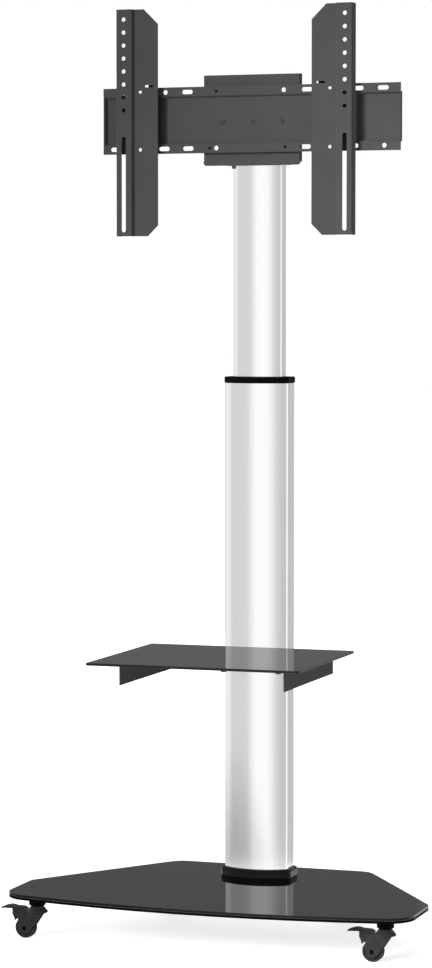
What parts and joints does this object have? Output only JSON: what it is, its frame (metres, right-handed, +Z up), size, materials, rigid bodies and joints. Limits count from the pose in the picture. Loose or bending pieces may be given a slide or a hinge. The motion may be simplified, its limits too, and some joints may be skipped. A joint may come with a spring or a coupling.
{
  "type": "mobile tv stand",
  "caption": "Free-standing television stand: black glass base on braked casters, two-stage aluminium column, glass shelf, and a slotted rail with two drilled mounting arms.",
  "frame": {"origin": "on the floor under the middle of the base's width, and of the depth from the shelf's front edge to the base's back edge", "axes": "+Z up, +X to the right of a viewer in front of the television, -Y towards that viewer"},
  "size_m": [0.818, 0.501, 1.7795],
  "materials": {
    "black_glass": "polished black tempered glass",
    "black_paint": "fine matt black powder coat",
    "anodised": "satin silver anodised extrusion",
    "cast_foot": "black painted casting",
    "gloss_black": "gloss black moulding",
    "matte_black": "matt black moulding",
    "dark_steel": "black oxide steel",
    "caster_black": "satin black nylon",
    "tyre": "dark grey tread"
  },
  "bodies": {
    "base": {"base_glass": "black_glass", "base_plate": "black_paint", "column_foot": "cast_foot", "foot_skirt": "gloss_black", "lower_tube": "anodised", "column_collar": "matte_black", "lock_bush": "dark_steel", "foot_bolt_front_left": "dark_steel", "foot_bolt_front_right": "dark_steel", "foot_bolt_back_left": "dark_steel", "foot_bolt_back_right": "dark_steel", "caster_boss_front_left": "dark_steel", "caster_boss_front_right": "dark_steel", "caster_boss_back_left": "dark_steel", "caster_boss_back_right": "dark_steel"},
    "shoe": {"lock_shoe": "matte_black"},
    "knob": {"lock_knob": "matte_black"},
    "mast": {"upper_tube": "anodised", "mast_glide": "matte_black", "mast_cap": "matte_black", "head_socket": "cast_foot", "head_plate": "black_paint", "rail": "black_paint", "socket_screw": "dark_steel", "rail_bolt_left": "dark_steel", "rail_bolt_middle": "dark_steel", "rail_bolt_right": "dark_steel"},
    "left_arm": {"arm_left": "black_paint", "hanger_left": "black_paint", "hanger_screw_left": "dark_steel"},
    "right_arm": {"arm_right": "black_paint", "hanger_right": "black_paint", "hanger_screw_right": "dark_steel"},
    "shelf": {"shelf_glass": "black_glass", "shelf_cross_bar": "black_paint", "shelf_saddle": "matte_black", "shelf_strap": "black_paint", "shelf_side_left": "black_paint", "shelf_side_right": "black_paint", "shelf_clamp_bolt_left": "dark_steel", "shelf_clamp_bolt_right": "dark_steel", "shelf_saddle_screw_left": "dark_steel", "shelf_saddle_screw_right": "dark_steel"},
    "fork_front_left": {"caster_fork_front_left": "caster_black", "caster_axle_front_left": "dark_steel"},
    "fork_front_right": {"caster_fork_front_right": "caster_black", "caster_axle_front_right": "dark_steel"},
    "fork_back_left": {"caster_fork_back_left": "caster_black", "caster_axle_back_left": "dark_steel"},
    "fork_back_right": {"caster_fork_back_right": "caster_black", "caster_axle_back_right": "dark_steel"},
    "wheel_front_left": {"caster_wheel_front_left": "tyre"},
    "wheel_front_right": {"caster_wheel_front_right": "tyre"},
    "wheel_back_left": {"caster_wheel_back_left": "tyre"},
    "wheel_back_right": {"caster_wheel_back_right": "tyre"},
    "pedal_front_left": {"caster_pedal_front_left": "caster_black"},
    "pedal_front_right": {"caster_pedal_front_right": "caster_black"},
    "pedal_back_left": {"caster_pedal_back_left": "caster_black"},
    "pedal_back_right": {"caster_pedal_back_right": "caster_black"}
  },
  "joints": [
    {"name": "mast_height", "type": "slide", "parent": "base", "child": "mast", "axis": [0, 0, 1], "range_m": [-0.36, 0.04]},
    {"name": "shelf_height", "type": "slide", "parent": "base", "child": "shelf", "axis": [0, 0, 1], "range_m": [-0.3, 0.35]},
    {"name": "arm_left_slide", "type": "slide", "parent": "mast", "child": "left_arm", "axis": [1, 0, 0], "range_m": [-0.032, 0.115]},
    {"name": "arm_right_slide", "type": "slide", "parent": "mast", "child": "right_arm", "axis": [1, 0, 0], "range_m": [-0.062, 0.085]},
    {"name": "lock_travel", "type": "slide", "parent": "base", "child": "shoe", "axis": [0, 1, 0], "range_m": [0, 0.0025]},
    {"name": "lock_turn", "type": "hinge", "parent": "shoe", "child": "knob", "pos_m": [0, 0.2025, 0.97], "axis": [0, 1, 0], "range_deg": [0, 720]},
    {"name": "swivel_front_left", "type": "hinge", "parent": "base", "child": "fork_front_left", "pos_m": [-0.345, -0.1515, 0.055], "axis": [0, 0, 1], "continuous": true},
    {"name": "swivel_front_right", "type": "hinge", "parent": "base", "child": "fork_front_right", "pos_m": [0.345, -0.1515, 0.055], "axis": [0, 0, 1], "continuous": true},
    {"name": "swivel_back_left", "type": "hinge", "parent": "base", "child": "fork_back_left", "pos_m": [-0.175, 0.2155, 0.055], "axis": [0, 0, 1], "continuous": true},
    {"name": "swivel_back_right", "type": "hinge", "parent": "base", "child": "fork_back_right", "pos_m": [0.175, 0.2155, 0.055], "axis": [0, 0, 1], "continuous": true},
    {"name": "roll_front_left", "type": "hinge", "parent": "fork_front_left", "child": "wheel_front_left", "pos_m": [-0.368, -0.1515, 0.02], "axis": [0, 1, 0], "continuous": true},
    {"name": "roll_front_right", "type": "hinge", "parent": "fork_front_right", "child": "wheel_front_right", "pos_m": [0.322, -0.1515, 0.02], "axis": [0, 1, 0], "continuous": true},
    {"name": "roll_back_left", "type": "hinge", "parent": "fork_back_left", "child": "wheel_back_left", "pos_m": [-0.198, 0.2155, 0.02], "axis": [0, 1, 0], "continuous": true},
    {"name": "roll_back_right", "type": "hinge", "parent": "fork_back_right", "child": "wheel_back_right", "pos_m": [0.152, 0.2155, 0.02], "axis": [0, 1, 0], "continuous": true},
    {"name": "brake_front_left", "type": "hinge", "parent": "fork_front_left", "child": "pedal_front_left", "pos_m": [-0.358, -0.1515, 0.046], "axis": [0, -1, 0], "range_deg": [0, 11]},
    {"name": "brake_front_right", "type": "hinge", "parent": "fork_front_right", "child": "pedal_front_right", "pos_m": [0.332, -0.1515, 0.046], "axis": [0, -1, 0], "range_deg": [0, 11]},
    {"name": "brake_back_left", "type": "hinge", "parent": "fork_back_left", "child": "pedal_back_left", "pos_m": [-0.188, 0.2155, 0.046], "axis": [0, -1, 0], "range_deg": [0, 11]},
    {"name": "brake_back_right", "type": "hinge", "parent": "fork_back_right", "child": "pedal_back_right", "pos_m": [0.162, 0.2155, 0.046], "axis": [0, -1, 0], "range_deg": [0, 11]}
  ],
  "couplings": [
    {"joint": "lock_travel", "follows": "lock_turn", "m_per_rad": 0.00019894}
  ]
}
